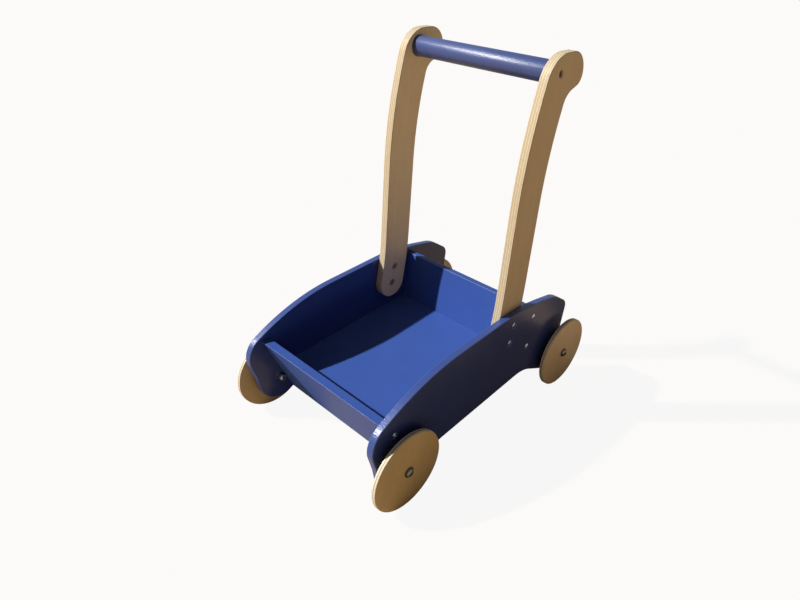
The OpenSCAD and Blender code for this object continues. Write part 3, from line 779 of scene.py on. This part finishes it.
# metres; "inward" heads look towards the middle of the walker
heads = {
    "axleBolt": {"head": 0.00525, "height": 0.0019, "dome": 0.0014, "crown": 2.6, "shank": 0.0025,
                 "key": 0.0027, "waist": 0.0027, "points": 3, "depth": 0.0019, "finish": "zincSteel"},
    "panelScrew": {"head": 0.0035, "height": 0.0003, "dome": 0.0008, "crown": 2.0, "shank": 0.00175,
                   "key": 0.0020, "waist": 0.0006, "points": 4, "depth": 0.0007, "finish": "brightZinc"},
    # the bar screws take the dark brown finish that paints the shade of their holes
    "barScrew": {"head": 0.0040, "height": 0.0022, "dome": 0.0004, "crown": 4.0, "shank": 0.00175,
                 "key": 0.0022, "waist": 0.0006, "points": 4, "depth": 0.0012, "finish": "shadedBrownSteel"},
    "connectorBolt": {"head": 0.0038, "height": 0.0010, "dome": 0.0012, "crown": 2.2, "shank": 0.0020,
                      "key": 0.0017, "waist": 0.0017, "points": 3, "depth": 0.0012, "finish": "dullZinc"},
    "connectorBarrel": {"head": 0.00475, "height": 0.0015, "dome": 0.0007, "crown": 4.0, "shank": 0.00325,
                        "key": 0.0017, "waist": 0.0017, "points": 3, "depth": 0.0016, "finish": "bronze",
                        "inward": True},
}
headRows = [(f"{corner}_axle_bolt", "axleBolt") for corner in corners] + [
    ("front_panel_screws", "panelScrew"),
    ("rear_panel_screws", "panelScrew"),
    ("push_bar_screws", "barScrew"),
    ("connector_bolts", "connectorBolt"),
    ("connector_barrels", "connectorBarrel"),
]
firstSeed = 3


def setHeads(cad, kind, seed, tree):
    size = heads[kind]
    rise = size["height"] + size["dome"]
    places, directions = [], []
    for low, high in solidBoxes(cad):
        middle = (low + high) / 2
        way = math.copysign(1.0, middle.x) * (-1 if size.get("inward") else 1)
        tip = high.x if way > 0 else low.x
        places.append((tip - way * rise, middle.y, middle.z))
        directions.append((way, 0, 0))
        length = high.x - low.x             # the same for all of a kind
    growTurned(cad, places, directions, tree, {
        "Head Radius": size["head"], "Head Height": size["height"], "Dome": size["dome"],
        "Crown": size["crown"], "Shank Radius": size["shank"], "Shank": length - rise,
        "Key Radius": size["key"], "Key Waist": size["waist"], "Key Points": size["points"],
        "Key Depth": size["depth"], "Seed": seed, "Finish": metal[size["finish"]]})


headTree = makeHeadTree()
for seed, (cad, kind) in enumerate(headRows, firstSeed):
    setHeads(cad, kind, seed, headTree)

ringBore = 0.0026
rings = {
    "axle_spacers": {"ease": 0.0006, "slot": "nylon", "finish": nylon},
    "axle_washers": {"ease": 0.0003, "slot": "steel", "finish": metal["darkSteel"]},
    "nut_washers": {"ease": 0.0003, "slot": "steel", "finish": metal["darkSteel"]},
}
rings.update({f"{corner}_bush": {"ease": 0.0003, "slot": "nylon", "finish": nylon} for corner in corners})


def setRings(cad, ease, slot, finish, tree):
    boxes = solidBoxes(cad)
    places = [(low + high) / 2 for low, high in boxes]
    size = boxes[0][1] - boxes[0][0]
    growTurned(cad, places, [(1, 0, 0)] * len(places), tree, {
        "Radius": size.z / 2, "Bore": ringBore, "Thickness": size.x, "Ease": ease, "Seed": 1, "Finish": finish})


ringTree = makeRingTree()
for cad, size in rings.items():
    setRings(cad, tree=ringTree, **size)

nuts = mergedCopy("axle_nuts")
easeEdges(nuts, (metal["brightZinc"],) * 3, **boards["nuts"])
finishPiece(nuts, "frame", "axle_nuts")
print("fastenings:", len(headRows), "sets of heads,", len(rings), "sets of rings, and the nuts")


# floor, light and camera

studio = {
    "floor": (0.62, 0.46, 0.30, 1),
    "floorPale": (0.66, 0.49, 0.32, 1),
    "floorCloud": 3.0,
    "floorRoughness": 0.9,
    "floorReach": 12.0,                     # metres from the middle to each side
    "seenWhite": 0.92,                      # share of plain white that the camera sees in the floor
    "mirroredWhite": 0.02,                  # and the share that shiny pieces see
    "sky": (0.85, 0.90, 1.0, 1),
    "skyStrength": 0.05,
    "seenSky": 1.0,
    "mirroredSky": 0.36,
    # power in W per square metre, angle in degrees
    "suns": {
        "key": {"towards": (-0.56, -0.525, 0.642), "colour": (1, 1, 1), "power": 4.5, "angle": 1.6},
        "frontFill": {"towards": (0.30, -0.95, 0.05), "colour": (1.0, 0.66, 0.36), "power": 0.24,
                      "angle": 110.0},
        "sideFill": {"towards": (0.92, 0.20, 0.33), "colour": (1.0, 0.74, 0.50), "power": 0.13,
                     "angle": 90.0},
    },
}


def makeSun(name, towards, colour, power, angle):
    lamp = bpy.data.lights.new(name, "SUN")
    lamp.color = colour
    lamp.energy = power
    lamp.angle = math.radians(angle)
    sun = newPiece(name, lamp)
    sun.rotation_euler = Vector(towards).to_track_quat("Z", "Y").to_euler()


def whiteShare(tree, seen, mirrored):
    light = wire(tree, "ShaderNodeLightPath").outputs
    direct = calc(tree, "MULTIPLY", light["Is Camera Ray"], seen)
    bounced = calc(tree, "MAXIMUM", light["Is Glossy Ray"], light["Is Transmission Ray"])
    return calc(tree, "MAXIMUM", direct, calc(tree, "MULTIPLY", bounced, mirrored))


def makeFloor():
    mesh = bpy.data.meshes.new("studioFloor")
    half = studio["floorReach"]
    square = [(-half, -half, 0), (half, -half, 0), (half, half, 0), (-half, half, 0)]
    mesh.from_pydata(square, [], [(0, 1, 2, 3)])
    newPiece("studioFloor", mesh)
    finish, tree, into = newFinish("studioFloor", studio["floorRoughness"], {"Specular IOR Level": 0.0})
    cloud = noise(tree, objectPlace(tree), studio["floorCloud"])
    tree.links.new(blendColour(tree, cloud, studio["floor"], studio["floorPale"]), into["Base Color"])
    share = whiteShare(tree, studio["seenWhite"], studio["mirroredWhite"])
    white = wire(tree, "ShaderNodeEmission", {"Color": (1, 1, 1, 1), "Strength": 1.0})
    plain = tree.nodes["Principled BSDF"]
    shown = wire(tree, "ShaderNodeMixShader", {0: share, 1: plain.outputs[0], 2: white.outputs[0]})
    tree.links.new(shown.outputs[0], tree.nodes["Material Output"].inputs["Surface"])
    mesh.materials.append(finish)


def makeSky():
    world = bpy.data.worlds.new("studio")
    bpy.context.scene.world = world
    world.use_nodes = True
    tree = world.node_tree
    soft = tree.nodes["Background"]
    soft.inputs["Color"].default_value = studio["sky"]
    soft.inputs["Strength"].default_value = studio["skyStrength"]
    share = whiteShare(tree, studio["seenSky"], studio["mirroredSky"])
    white = wire(tree, "ShaderNodeBackground", {"Color": (1, 1, 1, 1), "Strength": 1.0})
    shown = wire(tree, "ShaderNodeMixShader", {0: share, 1: soft.outputs[0], 2: white.outputs[0]})
    tree.links.new(shown.outputs[0], tree.nodes["World Output"].inputs["Surface"])


viewPoint = {
    "place": (0.484764, -0.552587, 0.613126),
    "towards": (-0.035067, 0.036495, 0.117189),
    "roll": 2.766,                          # degrees
    "picture": (800, 600),
    "focal": 604.37,                        # pixels of that picture, as is the centre
    "centre": (422.954, 308.17),
    "sensor": 36.0,                         # millimetres
}


def makeCamera():
    place, towards = Vector(viewPoint["place"]), Vector(viewPoint["towards"])
    back = (place - towards).normalized()
    right = Vector((0, 0, 1)).cross(back).normalized()
    up = back.cross(right)
    turn = math.radians(viewPoint["roll"])
    rolledRight = right * math.cos(turn) + up * math.sin(turn)
    rolledUp = up * math.cos(turn) - right * math.sin(turn)
    width, height = viewPoint["picture"]
    centreX, centreY = viewPoint["centre"]
    lens = bpy.data.cameras.new("viewPoint")
    lens.sensor_width = viewPoint["sensor"]
    lens.lens = viewPoint["focal"] / width * viewPoint["sensor"]
    lens.shift_x = (width / 2 - centreX) / width
    lens.shift_y = (centreY - height / 2) / width
    camera = newPiece("viewPoint", lens)
    camera.matrix_world = Matrix((
        (rolledRight.x, rolledUp.x, back.x, place.x),
        (rolledRight.y, rolledUp.y, back.y, place.y),
        (rolledRight.z, rolledUp.z, back.z, place.z),
        (0, 0, 0, 1)))
    bpy.context.scene.camera = camera


makeFloor()
makeSky()
for name, sun in studio["suns"].items():
    makeSun(name, **sun)
makeCamera()
bpy.context.scene.view_settings.view_transform = "Standard"
print("studio: floor, key, two fills and camera")
